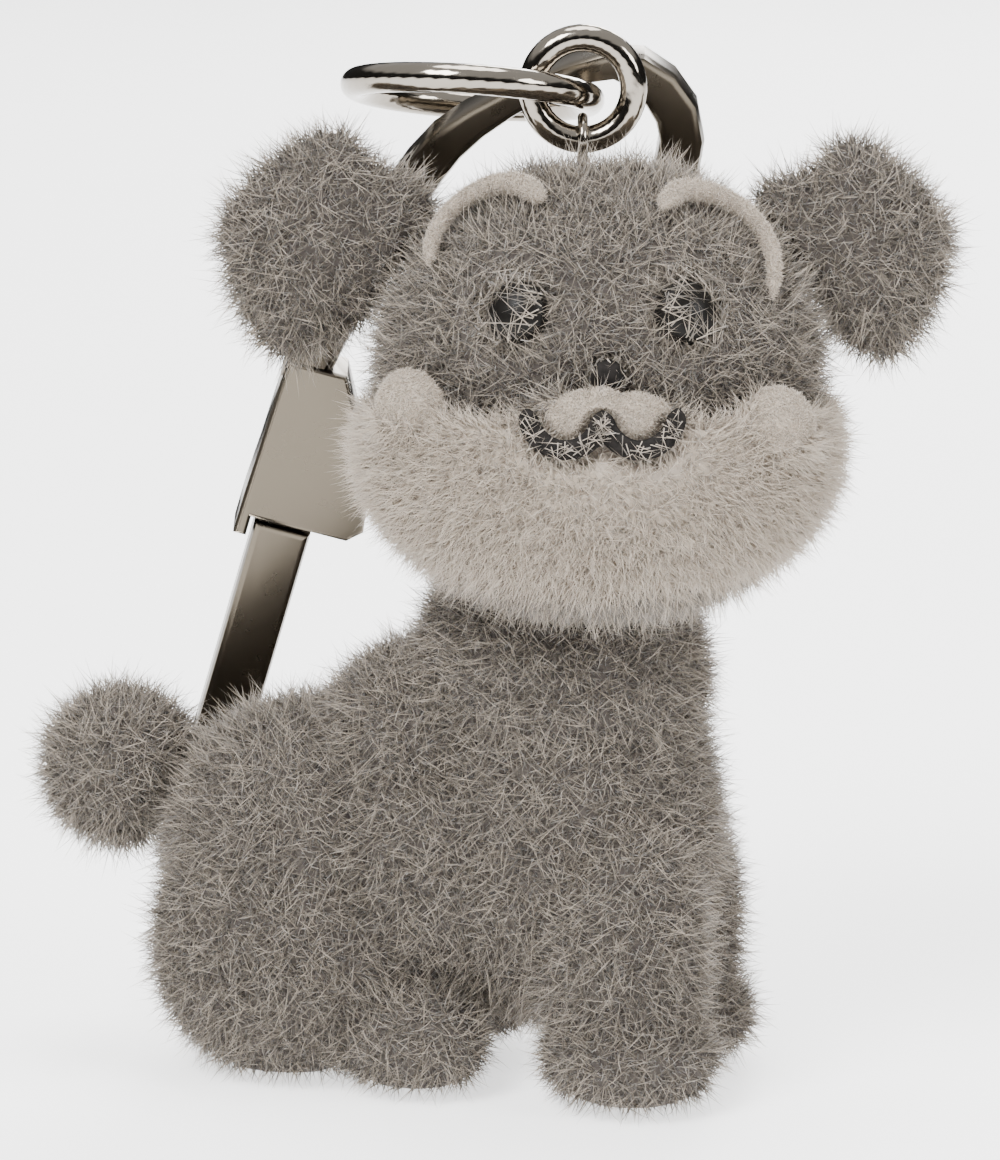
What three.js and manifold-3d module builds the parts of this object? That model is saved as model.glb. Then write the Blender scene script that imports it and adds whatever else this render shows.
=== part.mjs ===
// Flocked dog figure on a keychain: a moulded body and head, glued-on ears, tail, beard and face
// pieces, a screw eye in the crown, two rings and a spring-gate clasp. Millimetres, +Z up.
// The face looks along -Y. The feet stand on Z = 0.
import * as THREE from 'three';
import { mergeVertices } from 'three/addons/utils/BufferGeometryUtils.js';
import Module from 'manifold-3d';

const wasm = await Module();
wasm.setup();

// ---------------------------------------------------------------- driving dimensions

const GAP = 0.3; // space left round every glued, pushed-in or resting piece
const LINK_GAP = 0.15; // space between the metal links where one passes through the next
const PIN_CLEARANCE = 0.08; // radial, between the gate pin and its holes

const SKULL = { width: 24.8, depth: 18.4, height: 22.6, centre: [8.5, -4.8, 41.5] };
const BEARD = { width: 26.6, depth: 26.0, height: 17.8, drop: 4.7, back: 6.2 };
const BEARD_TOP = 3.2; // height of the beard's upper edge above the beard's own centre
const CHEEK = { radius: 2.5, turn: [-58, 50], rise: [24, 18], sink: 0.6 };
const MOUSTACHE = { radius: 1.2, apart: 1.65, rise: 4.1, bridge: 4.7 };
const SNOUT = { radii: [4.7, 2.7, 2.2], rise: 3.1, sink: 2.5 };
const MOUTH = { arc: 2.0, rise: 4.0, stroke: 0.58 };

const EYE = { radius: 1.75, dome: 1.0, depth: 0.7, stem: 0.55, stemLength: 2.6, turn: 25, rise: 22 };
const NOSE = { radius: 0.95, dome: 0.6, depth: 0.6, stem: 0.35, stemLength: 1.6, turn: 1.5, rise: 4 };
const BROW = { radius: 0.82, lift: 0.35 };
// Each brow runs over the skull from its inner end to its outer end: [turn, rise] in degrees.
const BROW_RIGHT = [[-24, 55], [-42, 61], [-62, 60], [-71, 50], [-66, 40], [-57, 30]];
const BROW_LEFT = [[23, 52], [42, 59], [60, 55], [67, 46], [62, 35], [51, 21]];

const EAR = { thickness: 5.0, corner: 1.45, peg: 1.3, pegLength: 3.6, root: [4.6, 2.1, 4.6], inward: 3.2 };
// The ears as they stand out from the skull: half width, half height, lean, and centre from the skull's.
const EAR_RIGHT = { halfWidth: 5.4, halfHeight: 6.9, lean: 15, centre: [-15.7, 1.4, 6.3] };
const EAR_LEFT = { halfWidth: 5.0, halfHeight: 6.6, lean: -12, centre: [14.7, 1.4, 6.0] };

const BODY_TURN = -15; // degrees, the body's forward axis from +X round towards the face
// Body lumps: centre and radii as forward, sideways and up. Those with a side are made twice.
const LUMPS = [
  { at: [6.9, 0, 15.0], radii: [9.2, 8.0, 12.0] },
  { at: [6.8, 0, 23.5], radii: [8.6, 7.6, 9.0] },
  { at: [0, 0, 13.4], radii: [11.0, 7.9, 8.6] },
  { at: [-0.6, 0, 19.4], radii: [6.9, 6.6, 5.8] },
  { at: [-7.6, 0, 13.0], radii: [9.2, 8.3, 8.3] },
  { at: [-8.4, 4.4, 7.6], radii: [7.9, 4.6, 8.2], pair: true },
  { at: [-0.5, 5.2, 3.0], radii: [4.8, 3.6, 3.5], pair: true },
  { at: [11.4, 4.5, 8.5], radii: [5.0, 4.3, 9.5], pair: true },
  { at: [11.9, 4.7, 2.9], radii: [5.4, 4.6, 3.6], pair: true },
];
const NECK_PEG = { radius: 2.6, forward: 6.8, bottom: 21.5, length: 14 };
const TAIL = { radius: 4.8, centre: [-19.0, -0.6, 16.6], peg: 1.2, pegLength: 9.5 };

const SCREW_EYE = { wire: 0.6, shank: 7.0, offset: [-0.87, 2.8], height: 1.1, pocket: 4.2 };
const SMALL_RING = { wire: 1.56, diameter: 7.16 };
const LARGE_RING = { wire: 1.7, diameter: 14.7, dip: 13, roll: 4, back: 3.0, left: 0.23 };

const CLASP = { thickness: 2.5, bevel: 0.5, tilt: 16, hang: 23, hookSlope: 29 };
const BAND = 2.5; // width of the clasp's band
const HOOK = 1.4; // width of the band where it goes over the large ring
// The clasp's outer edge in its own plane, from the nose over the hook and down the spine to the
// hinge: [across, along] from the point over the large ring, and the band's width there.
const CLASP_EDGE = [
  [-10.45, -22.4, BAND], [-9.1, -15.2, BAND], [-6.5, -6.6, 2.3], [-4.4, -3.8, 1.9], [0, 0, HOOK],
  [2.9, 1.6, 1.9], [4.85, 1.4, 2.3], [6.9, 0.3, BAND], [8.4, -1.8, BAND], [8.95, -6.6, BAND],
  [8.95, -18.0, BAND], [8.95, -30.0, BAND], [7.6, -38.2, BAND], [3.6, -44.4, BAND], [-1.4, -47.7, 2],
];
const NOSE_BLOCK = { left: -10.45, right: -3.4, top: -22.4, bottom: -31.1, lip: 0.75, lipDrop: 1.2 };
const GATE = { left: -9.55, width: 3.3, hinge: -46.6, tipGap: 0.3, cheek: 0.62, pin: 0.6 };
const GATE_SPRING = { wire: 0.22, coil: 0.95, turns: 5, length: 4.0 };

const ROUND = 18; // segments round the lumps
const FINE = 28; // segments round the skull and beard

// ---------------------------------------------------------------- tools for shapes

const rad = THREE.MathUtils.degToRad;
const up = new THREE.Vector3(0, 0, 1);

function solid(geometry) {
  const bare = geometry.clone();
  bare.deleteAttribute('normal');
  bare.deleteAttribute('uv');
  const merged = mergeVertices(bare, 1e-5);
  const mesh = new wasm.Mesh({
    numProp: 3,
    vertProperties: new Float32Array(merged.attributes.position.array),
    triVerts: new Uint32Array(merged.index.array),
  });
  return new wasm.Manifold(mesh);
}

function surface(shape) {
  const mesh = shape.getMesh();
  const geometry = new THREE.BufferGeometry();
  geometry.setAttribute('position', new THREE.BufferAttribute(new Float32Array(mesh.vertProperties), 3));
  geometry.setIndex(new THREE.BufferAttribute(new Uint32Array(mesh.triVerts), 1));
  geometry.computeVertexNormals();
  return geometry;
}

const joined = (shapes) => shapes.reduce((sum, shape) => sum.add(shape));
const cut = (shape, tools) => tools.reduce((left, tool) => left.subtract(tool), shape);

// A sphere with its poles up and down, stretched to three radii.
function lump(centre, radii, segments = ROUND, turn = 0) {
  const geometry = new THREE.SphereGeometry(1, segments, Math.round(segments * 0.6));
  geometry.rotateX(Math.PI / 2).scale(...radii).rotateZ(turn).translate(...centre);
  return solid(geometry);
}

function box(low, high) {
  const size = high.map((value, i) => value - low[i]);
  const geometry = new THREE.BoxGeometry(...size);
  return geometry.translate(...high.map((value, i) => (value + low[i]) / 2));
}

// A round rod from one point to another.
function rod(from, to, radius, segments = 20) {
  const along = new THREE.Vector3().subVectors(to, from);
  const geometry = new THREE.CylinderGeometry(radius, radius, along.length(), segments);
  geometry.rotateX(Math.PI / 2);
  geometry.applyQuaternion(new THREE.Quaternion().setFromUnitVectors(up, along.clone().normalize()));
  return geometry.translate(...from.clone().lerp(to, 0.5).toArray());
}

// A round bar along a curve whose radius changes on the way. Both ends close to a point, past
// the curve's own ends by a given distance.
function taperedBar(curve, radiusAt, steps, sides, past = 0) {
  const frames = curve.computeFrenetFrames(steps, false);
  const start = curve.getPoint(0).addScaledVector(frames.tangents[0], -past);
  const end = curve.getPoint(1).addScaledVector(frames.tangents[steps], past);
  const points = [...start.toArray()];
  for (let i = 0; i <= steps; i += 1) {
    const centre = curve.getPointAt(i / steps);
    for (let j = 0; j < sides; j += 1) {
      const angle = (2 * Math.PI * j) / sides;
      const out = frames.normals[i].clone().multiplyScalar(Math.cos(angle));
      out.addScaledVector(frames.binormals[i], Math.sin(angle));
      points.push(...out.multiplyScalar(radiusAt(i / steps)).add(centre).toArray());
    }
  }
  points.push(...end.toArray());
  const last = points.length / 3 - 1;
  const faces = [];
  for (let j = 0; j < sides; j += 1) {
    const next = (j + 1) % sides;
    faces.push(0, 1 + next, 1 + j);
    for (let i = 0; i < steps; i += 1) {
      const [a, b] = [1 + i * sides + j, 1 + i * sides + next];
      faces.push(a, b, a + sides, b, b + sides, a + sides);
    }
    faces.push(last, last - sides + j, last - sides + next);
  }
  const geometry = new THREE.BufferGeometry();
  geometry.setAttribute('position', new THREE.Float32BufferAttribute(points, 3));
  geometry.setIndex(faces);
  return geometry;
}

// The radius of a bar with rounded ends, each a share of its length.
const roundEnds = (radius, share) => (t) => {
  const fromEnd = Math.min(t, 1 - t) / share;
  return radius * (fromEnd < 1 ? Math.sqrt(Math.max(1 - (1 - fromEnd) ** 2, 0.02)) : 1);
};

// ---------------------------------------------------------------- head

const skullRadii = [SKULL.width / 2, SKULL.depth / 2, SKULL.height / 2];
const skullCentre = new THREE.Vector3(...SKULL.centre);
const beardRadii = [BEARD.width / 2, BEARD.depth / 2, BEARD.height / 2];
const beardCentre = skullCentre.clone().add(new THREE.Vector3(0, 0, -BEARD.drop));

// The direction at a turn from the face and a rise above it, in degrees.
function direction(turn, rise) {
  const level = Math.cos(rad(rise));
  return new THREE.Vector3(Math.sin(rad(turn)) * level, -Math.cos(rad(turn)) * level, Math.sin(rad(rise)));
}

// A point over an egg shape's surface and the way out of it there.
function overEgg(centre, radii, turn, rise, lift = 0) {
  const toward = direction(turn, rise);
  const out = new THREE.Vector3(...toward.toArray().map((value, i) => value / radii[i])).normalize();
  const point = new THREE.Vector3(...toward.toArray().map((value, i) => value * radii[i]));
  return { point: point.add(centre).addScaledVector(out, lift), out };
}

const overSkull = (turn, rise, lift) => overEgg(skullCentre, skullRadii, turn, rise, lift);
const overBeard = (turn, rise, lift) => overEgg(beardCentre, beardRadii, turn, rise, lift);

// The point straight in front of the beard at a place across and above its centre.
function onMuzzle(across, rise, lift = 0) {
  const left = 1 - (across / beardRadii[0]) ** 2 - (rise / beardRadii[2]) ** 2;
  return new THREE.Vector3(across, -beardRadii[1] * Math.sqrt(left) - lift, rise).add(beardCentre);
}

const skull = (grown = 0) => lump(SKULL.centre, skullRadii.map((radius) => radius + grown), FINE);

// A domed bead with a flat back and a stem, pointing out of the surface.
function bead(size, place, grown = 0) {
  const profile = [new THREE.Vector2(0, -size.depth - size.stemLength - grown)];
  profile.push(new THREE.Vector2(size.stem + grown, -size.depth - size.stemLength - grown));
  profile.push(new THREE.Vector2(size.stem + grown, -size.depth - grown));
  profile.push(new THREE.Vector2(size.radius + grown, -size.depth - grown));
  for (let i = 0; i < 6; i += 1) {
    const angle = (i / 6) * (Math.PI / 2);
    const out = (size.radius + grown) * Math.cos(angle);
    profile.push(new THREE.Vector2(out, (size.dome + grown) * Math.sin(angle)));
  }
  profile.push(new THREE.Vector2(0, size.dome + grown));
  const geometry = new THREE.LatheGeometry(profile, 16).rotateX(Math.PI / 2);
  geometry.applyQuaternion(new THREE.Quaternion().setFromUnitVectors(up, place.out));
  return geometry.translate(...place.point.toArray());
}

const eyePlaces = { eye_right: overSkull(-EYE.turn, EYE.rise), eye_left: overSkull(EYE.turn, EYE.rise) };
const nosePlace = overSkull(NOSE.turn, NOSE.rise, 0.4);

function brow(angles, grown = 0) {
  const points = angles.map(([turn, rise]) => overSkull(turn, rise, BROW.lift).point);
  const curve = new THREE.CatmullRomCurve3(points);
  const width = (t) => roundEnds(BROW.radius, 0.16)(t) * (1 - 0.35 * t) + grown;
  return taperedBar(curve, width, 18, 10, grown);
}

function ear(shape, side) {
  const geometry = new THREE.SphereGeometry(1, 24, 14).rotateX(Math.PI / 2);
  const places = geometry.attributes.position;
  for (let i = 0; i < places.count; i += 1) {
    const [x, z] = [places.getX(i), places.getZ(i)];
    const diamond = (Math.abs(x) ** EAR.corner + Math.abs(z) ** EAR.corner) ** (1 / EAR.corner);
    const pull = diamond > 1e-6 ? Math.hypot(x, z) / diamond : 1;
    places.setX(i, x * pull);
    places.setZ(i, z * pull);
  }
  geometry.scale(shape.halfWidth, EAR.thickness / 2, shape.halfHeight);
  geometry.rotateY(rad(shape.lean));
  const centre = skullCentre.clone().add(new THREE.Vector3(...shape.centre));
  geometry.translate(...centre.toArray());
  const peg = (more = 0) => {
    const reach = new THREE.Vector3(-side * (shape.halfWidth + EAR.pegLength + more), 0, 0);
    return solid(rod(centre, centre.clone().add(reach), EAR.peg + more));
  };
  const root = lump([centre.x - side * EAR.inward, centre.y, centre.z], EAR.root);
  return { blade: solid(geometry).add(root), peg };
}

// ---------------------------------------------------------------- body

const turn = rad(BODY_TURN);
const bodyPoint = ([forward, side, height]) =>
  new THREE.Vector3(forward, side, height).applyAxisAngle(up, turn);

function bodyLumps(grown = 0) {
  const made = LUMPS.flatMap(({ at, radii, pair }) => {
    const wide = radii.map((radius) => radius + grown);
    const sides = pair ? [-1, 1] : [1];
    return sides.map((side) => lump(bodyPoint([at[0], at[1] * side, at[2]]).toArray(), wide, ROUND, turn));
  });
  return joined(made);
}

const pegFoot = bodyPoint([NECK_PEG.forward, 0, NECK_PEG.bottom]);
const pegTop = pegFoot.clone().add(new THREE.Vector3(0, 0, NECK_PEG.length));
const neckBore = () => {
  const below = pegFoot.clone().add(new THREE.Vector3(0, 0, -GAP));
  const above = pegTop.clone().add(new THREE.Vector3(0, 0, GAP));
  return solid(rod(below, above, NECK_PEG.radius + GAP));
};

const tailCentre = bodyPoint(TAIL.centre);
const tailPegEnd = tailCentre.clone().add(bodyPoint([TAIL.pegLength, 0, 0]));
const tailPeg = (grown = 0) => {
  const past = tailPegEnd.clone().add(bodyPoint([grown, 0, 0]));
  return solid(rod(tailCentre, past, TAIL.peg + grown));
};
const tailBall = () => lump(tailCentre.toArray(), [TAIL.radius, TAIL.radius, TAIL.radius]);

// ---------------------------------------------------------------- rings and screw eye

const smallLoop = (SMALL_RING.diameter - SMALL_RING.wire) / 2;
const largeLoop = (LARGE_RING.diameter - LARGE_RING.wire) / 2;
// The radius at the middle of the screw eye's wire, round the small ring's wire.
const eyeLoop = (SMALL_RING.wire + SCREW_EYE.wire) / 2 + LINK_GAP;

// The height of the skull under the screw eye, and the middle of the eye's hole above it.
const [eyeAcross, eyeBack] = SCREW_EYE.offset;
const crown = Math.sqrt(1 - (eyeAcross / skullRadii[0]) ** 2 - (eyeBack / skullRadii[1]) ** 2);
const crownTop = skullCentre.z + skullRadii[2] * crown;
const eyeHole = new THREE.Vector3(
  skullCentre.x + eyeAcross,
  skullCentre.y + eyeBack,
  crownTop + SCREW_EYE.height,
);
const smallCentre = eyeHole.clone().add(new THREE.Vector3(0, 0, smallLoop));

// From the large ring's own plane, where its hole looks up, to how it lies.
const lying = new THREE.Matrix4().makeRotationY(rad(LARGE_RING.roll))
  .multiply(new THREE.Matrix4().makeRotationX(-rad(LARGE_RING.dip)));
const roundLargeRing = (angle) =>
  new THREE.Vector3(Math.cos(angle), Math.sin(angle), 0).multiplyScalar(largeLoop).applyMatrix4(lying);

// The large ring passes through the small ring just over the screw eye's loop.
const eyeLoopTop = eyeHole.z + eyeLoop + SCREW_EYE.wire / 2;
const crossing = new THREE.Vector3(
  smallCentre.x - LARGE_RING.left,
  smallCentre.y,
  eyeLoopTop + LINK_GAP + LARGE_RING.wire / 2,
);
const largeCentre = crossing.clone().sub(roundLargeRing(-Math.asin(LARGE_RING.back / largeLoop)));

function screwEye() {
  const loop = new THREE.TorusGeometry(eyeLoop, SCREW_EYE.wire / 2, 10, 24).rotateY(Math.PI / 2);
  const bottom = new THREE.Vector3(eyeHole.x, eyeHole.y, eyeHole.z - eyeLoop);
  const point = bottom.clone().add(new THREE.Vector3(0, 0, -SCREW_EYE.shank));
  return solid(loop.translate(...eyeHole.toArray())).add(solid(rod(point, bottom, SCREW_EYE.wire / 2, 12)));
}

const shankBore = () => {
  const foot = new THREE.Vector3(eyeHole.x, eyeHole.y, eyeHole.z - eyeLoop - SCREW_EYE.shank - GAP);
  return solid(rod(foot, eyeHole, SCREW_EYE.wire / 2 + GAP, 16));
};

const crownPocket = () => {
  const floor = eyeHole.z - eyeLoop - SCREW_EYE.wire / 2 - GAP;
  const centre = [eyeHole.x, eyeHole.y, floor + SCREW_EYE.pocket];
  return lump(centre, [SCREW_EYE.pocket, SCREW_EYE.pocket, SCREW_EYE.pocket]);
};

const smallRing = () => new THREE.TorusGeometry(smallLoop, SMALL_RING.wire / 2, 12, 32)
  .rotateX(Math.PI / 2).translate(...smallCentre.toArray());

const largeRing = () => new THREE.TorusGeometry(largeLoop, LARGE_RING.wire / 2, 12, 48)
  .applyMatrix4(lying).translate(...largeCentre.toArray());

// ---------------------------------------------------------------- clasp

// The clasp hangs from the large ring and leans on the back of the skull, or on the body where
// that stands out further. Its hook goes over the ring's wire at claspHang, towards the back of
// the ring's right-hand end.
const claspHang = roundLargeRing(rad(CLASP.hang)).add(largeCentre);
const stand = CLASP.thickness / 2 + GAP;
const fromSkull = [
  (claspHang.y - skullCentre.y) / (skullRadii[1] + stand),
  (claspHang.z - skullCentre.z) / (skullRadii[2] + stand),
];
const tangent = Math.atan2(fromSkull[1], fromSkull[0]) - Math.acos(1 / Math.hypot(...fromSkull));
const touchBack = skullCentre.y + Math.cos(tangent) * (skullRadii[1] + stand);
const touchHeight = skullCentre.z + Math.sin(tangent) * (skullRadii[2] + stand);
const skullLean = Math.atan2(touchBack - claspHang.y, claspHang.z - touchHeight);

// The least lean that carries the clasp clear of one lump of the body.
function leanPast({ at, radii }) {
  const centre = bodyPoint(at);
  const behind = claspHang.y - centre.y;
  const above = claspHang.z - centre.z;
  const depth = Math.hypot(radii[0] * Math.sin(turn), radii[1] * Math.cos(turn));
  let [low, high] = [0, Math.PI / 3];
  while (high - low > 1e-6) {
    const lean = (low + high) / 2;
    const reach = Math.hypot(depth * Math.cos(lean), radii[2] * Math.sin(lean)) + stand;
    if (behind * Math.cos(lean) + above * Math.sin(lean) > reach) high = lean;
    else low = lean;
  }
  return high;
}
const claspLean = Math.max(skullLean, ...LUMPS.map(leanPast));

// From the clasp's own plane, seen from the front, into place: the hook's outer edge stands
// over the ring's wire by the hook's width and the gap under it. The wire runs through the
// clasp's thickness at a slant, so it needs a little more room.
const hookSlope = rad(CLASP.hookSlope);
const slant = (CLASP.thickness / 2) * Math.tan(rad(CLASP.hang)) * Math.sin(hookSlope);
const hookOver = LARGE_RING.wire / 2 + slant + GAP + HOOK;
function placed(geometry) {
  geometry.translate(-hookOver * Math.sin(hookSlope), hookOver * Math.cos(hookSlope), 0);
  geometry.rotateX(Math.PI / 2).rotateY(rad(CLASP.tilt)).rotateX(claspLean);
  return geometry.translate(...claspHang.toArray());
}

function plate(outline, thickness, bevel) {
  const shape = new THREE.Shape(outline.map(([x, y]) => new THREE.Vector2(x, y)));
  const geometry = new THREE.ExtrudeGeometry(shape, {
    depth: thickness - 2 * bevel,
    bevelEnabled: bevel > 0,
    bevelThickness: bevel,
    bevelSize: bevel,
    bevelOffset: -bevel,
    bevelSegments: 2,
    steps: 1,
  });
  return geometry.translate(0, 0, -(thickness - 2 * bevel) / 2);
}

const gateMiddle = GATE.left + GATE.width / 2;
const gateTop = NOSE_BLOCK.bottom - GATE.tipGap;
const knuckle = GATE.width / 2; // radius of the gate's round hinge end
const tongueRadius = knuckle - 0.15;
const tongueThickness = CLASP.thickness - 2 * GATE.cheek - 2 * GAP;

function claspFrame() {
  const edge = new THREE.CatmullRomCurve3(CLASP_EDGE.map((place) => new THREE.Vector3(...place)));
  const [outer, inner] = [[], []];
  const steps = 40;
  for (let i = 0; i <= steps; i += 1) {
    const point = edge.getPointAt(i / steps);
    const along = edge.getTangentAt(i / steps).setZ(0).normalize();
    outer.push([point.x, point.y]);
    inner.push([point.x + along.y * point.z, point.y - along.x * point.z]);
  }
  const band = plate([...outer, ...inner.reverse()].reverse(), CLASP.thickness, CLASP.bevel);
  const block = NOSE_BLOCK;
  const lipRight = GATE.left - GAP;
  const nose = plate([
    [block.left + 0.15, block.top + 1.2], [block.left, block.bottom + 4.2],
    [lipRight - block.lip, block.bottom + 1.2], [lipRight - block.lip, block.bottom - block.lipDrop],
    [lipRight, block.bottom - block.lipDrop], [lipRight, block.bottom],
    [block.right - 0.8, block.bottom], [block.right, block.bottom + 0.8],
    [block.right - 0.5, block.bottom + 4.4], [block.left + 3.6, block.top + 1.2],
  ], CLASP.thickness + 0.6, CLASP.bevel / 2);
  const [endX, endY] = CLASP_EDGE.at(-1);
  const arm = plate([
    [endX + 1.2, endY + BAND - 0.4], [gateMiddle, GATE.hinge + tongueRadius * 0.8],
    [gateMiddle, GATE.hinge - tongueRadius * 0.8], [endX + 1.2, endY + 0.7],
  ], tongueThickness, 0);
  const tongue = new THREE.CylinderGeometry(tongueRadius, tongueRadius, tongueThickness, 28)
    .rotateX(Math.PI / 2).translate(gateMiddle, GATE.hinge, 0);
  const hole = new THREE.CylinderGeometry(GATE.pin + PIN_CLEARANCE, GATE.pin + PIN_CLEARANCE, 9, 24)
    .rotateX(Math.PI / 2).translate(gateMiddle, GATE.hinge, 0);
  const clearOfGate = new THREE.CylinderGeometry(knuckle + GAP, knuckle + GAP, 9, 28)
    .rotateX(Math.PI / 2).translate(gateMiddle, GATE.hinge, 0);
  const whole = solid(band).subtract(solid(clearOfGate)).add(solid(nose)).add(solid(arm)).add(solid(tongue));
  return placed(surface(whole.subtract(solid(hole))));
}

function claspGate() {
  const [left, right] = [GATE.left, GATE.left + GATE.width];
  const outline = [[left, gateTop], [left, GATE.hinge]];
  for (let i = 1; i < 12; i += 1) {
    const angle = Math.PI + (i / 12) * Math.PI;
    outline.push([gateMiddle + knuckle * Math.cos(angle), GATE.hinge + knuckle * Math.sin(angle)]);
  }
  outline.push([right, GATE.hinge], [right, gateTop]);
  const bar = plate(outline, CLASP.thickness, CLASP.bevel * 0.8);
  const slot = box(
    [left - 1, GATE.hinge - knuckle - 1, -tongueThickness / 2 - GAP],
    [right + 1, GATE.hinge + tongueRadius + GAP, tongueThickness / 2 + GAP],
  );
  const pinHole = new THREE.CylinderGeometry(GATE.pin + PIN_CLEARANCE, GATE.pin + PIN_CLEARANCE, 9, 24)
    .rotateX(Math.PI / 2).translate(gateMiddle, GATE.hinge, 0);
  const bore = new THREE.CylinderGeometry(springBore, springBore, GATE_SPRING.length + GAP, 16)
    .translate(gateMiddle, springFoot + (GATE_SPRING.length + GAP) / 2 - GAP / 2, 0);
  return placed(surface(cut(solid(bar), [solid(slot), solid(pinHole), solid(bore)])));
}

const springBore = GATE_SPRING.coil / 2 + GATE_SPRING.wire / 2 + 0.2;
const springFoot = GATE.hinge + tongueRadius + GAP;

function gateSpring() {
  const { wire, coil, turns, length } = GATE_SPRING;
  class Helix extends THREE.Curve {
    getPoint(t, target = new THREE.Vector3()) {
      const angle = 2 * Math.PI * turns * t;
      const height = springFoot + wire / 2 + t * (length - wire - GAP);
      return target.set((coil / 2) * Math.cos(angle) + gateMiddle, height, (coil / 2) * Math.sin(angle));
    }
  }
  return placed(taperedBar(new Helix(), () => wire / 2, turns * 12, 6));
}

const gatePin = () => placed(
  new THREE.CylinderGeometry(GATE.pin, GATE.pin, CLASP.thickness, 24)
    .rotateX(Math.PI / 2).translate(gateMiddle, GATE.hinge, 0),
);

// ---------------------------------------------------------------- the pieces

const flockGrey = { color: 0x8a8279, roughness: 0.95, metalness: 0 };
const flockWhite = { color: 0xe4dcd0, roughness: 0.95, metalness: 0 };
const glossBlack = { color: 0x15130f, roughness: 0.25, metalness: 0 };
const mattBlack = { color: 0x1d1a17, roughness: 0.8, metalness: 0 };
const mouldedPlastic = { color: 0x4d4843, roughness: 0.6, metalness: 0 };
const nickel = { color: 0xc9c4bc, roughness: 0.12, metalness: 1 };
const castNickel = { color: 0xb5aea4, roughness: 0.28, metalness: 1 };
const springSteel = { color: 0x9a9a98, roughness: 0.35, metalness: 1 };

const model = new THREE.Group();

function piece(name, geometry, look) {
  const mesh = new THREE.Mesh(geometry, new THREE.MeshStandardMaterial(look));
  mesh.name = name;
  model.add(mesh);
}

const earRight = ear(EAR_RIGHT, -1);
const earLeft = ear(EAR_LEFT, 1);
const mouthArc = (side, grown = 0) => {
  const points = [];
  for (let i = 0; i <= 8; i += 1) {
    const angle = Math.PI * (1 + i / 8);
    const across = side * MOUTH.arc + MOUTH.arc * Math.cos(angle);
    points.push(onMuzzle(across, MOUTH.rise + MOUTH.arc * Math.sin(angle), 0.1));
  }
  const width = (t) => roundEnds(MOUTH.stroke, 0.1)(t) + grown;
  return solid(taperedBar(new THREE.CatmullRomCurve3(points), width, 14, 10, grown));
};
const mouthShape = (grown = 0) => mouthArc(-1, grown).add(mouthArc(1, grown));

function beardShape() {
  const wide = BEARD.width;
  const bowl = lump(beardCentre.toArray(), beardRadii, FINE);
  const top = beardCentre.z + BEARD_TOP;
  const back = skullCentre.y + BEARD.back;
  const aboveEdge = box([-wide, -wide, top], [2 * wide, wide, top + BEARD.height]);
  const behind = box([-wide, back, 0], [2 * wide, back + wide, top + BEARD.height]);
  const cheeks = [0, 1].map((i) => {
    const { point } = overBeard(CHEEK.turn[i], CHEEK.rise[i], -CHEEK.sink);
    return lump(point.toArray(), [CHEEK.radius, CHEEK.radius, CHEEK.radius]);
  });
  const { radius, apart, rise, bridge } = MOUSTACHE;
  const puffs = [[-apart, rise], [apart, rise], [0, bridge]].map(([across, height]) =>
    lump(onMuzzle(across, height, -0.7).toArray(), [radius, radius, radius * 0.85]));
  const snout = lump(onMuzzle(0, SNOUT.rise, -SNOUT.sink).toArray(), SNOUT.radii);
  const white = cut(bowl, [solid(aboveEdge), solid(behind)]).add(joined([snout, ...cheeks, ...puffs]));
  return cut(white, [skull(GAP), mouthShape(GAP), solid(bead(NOSE, nosePlace, GAP)), neckBore()]);
}

function headShape() {
  const faceHoles = Object.values(eyePlaces).map((place) => solid(bead(EYE, place, GAP)));
  return cut(skull(), [
    ...faceHoles,
    solid(bead(NOSE, nosePlace, GAP)),
    solid(brow(BROW_RIGHT, GAP)),
    solid(brow(BROW_LEFT, GAP)),
    earRight.peg(GAP),
    earLeft.peg(GAP),
    neckBore(),
    shankBore(),
    crownPocket(),
  ]);
}

function bodyShape() {
  const underfoot = box([-60, -60, -20], [60, 60, 0]);
  const beardBowl = lump(beardCentre.toArray(), beardRadii.map((radius) => radius + GAP), FINE);
  return cut(bodyLumps(), [solid(underfoot), skull(GAP), beardBowl, neckBore(), tailPeg(GAP)]);
}

piece('body', surface(bodyShape()), flockGrey);
piece('neck_peg', rod(pegFoot, pegTop, NECK_PEG.radius), mouldedPlastic);
piece('head', surface(headShape()), flockGrey);
piece('beard', surface(beardShape()), flockWhite);
piece('ear_right', surface(earRight.blade.subtract(skull(GAP)).add(earRight.peg())), flockGrey);
piece('ear_left', surface(earLeft.blade.subtract(skull(GAP)).add(earLeft.peg())), flockGrey);
piece('tail', surface(tailBall().subtract(bodyLumps(GAP)).add(tailPeg())), flockGrey);
piece('eye_right', bead(EYE, eyePlaces.eye_right), glossBlack);
piece('eye_left', bead(EYE, eyePlaces.eye_left), glossBlack);
piece('nose', bead(NOSE, nosePlace), mattBlack);
piece('mouth', surface(mouthShape()), mattBlack);
piece('brow_right', brow(BROW_RIGHT), flockWhite);
piece('brow_left', brow(BROW_LEFT), flockWhite);
piece('screw_eye', surface(screwEye()), nickel);
piece('small_ring', smallRing(), nickel);
piece('large_ring', largeRing(), nickel);
piece('clasp_frame', claspFrame(), castNickel);
piece('clasp_gate', claspGate(), castNickel);
piece('gate_pin', gatePin(), springSteel);
piece('gate_spring', gateSpring(), springSteel);

// The origin is under the middle of the whole keychain's box, on the plane the feet stand on.
const whole = new THREE.Box3().setFromObject(model);
model.position.set(-(whole.min.x + whole.max.x) / 2, -(whole.min.y + whole.max.y) / 2, 0);

export default model;
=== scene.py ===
"""Looks of a flocked dog keychain: skins, piles of real fibres, nickel rings and clasp, and a stage."""

import math
import random

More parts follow.
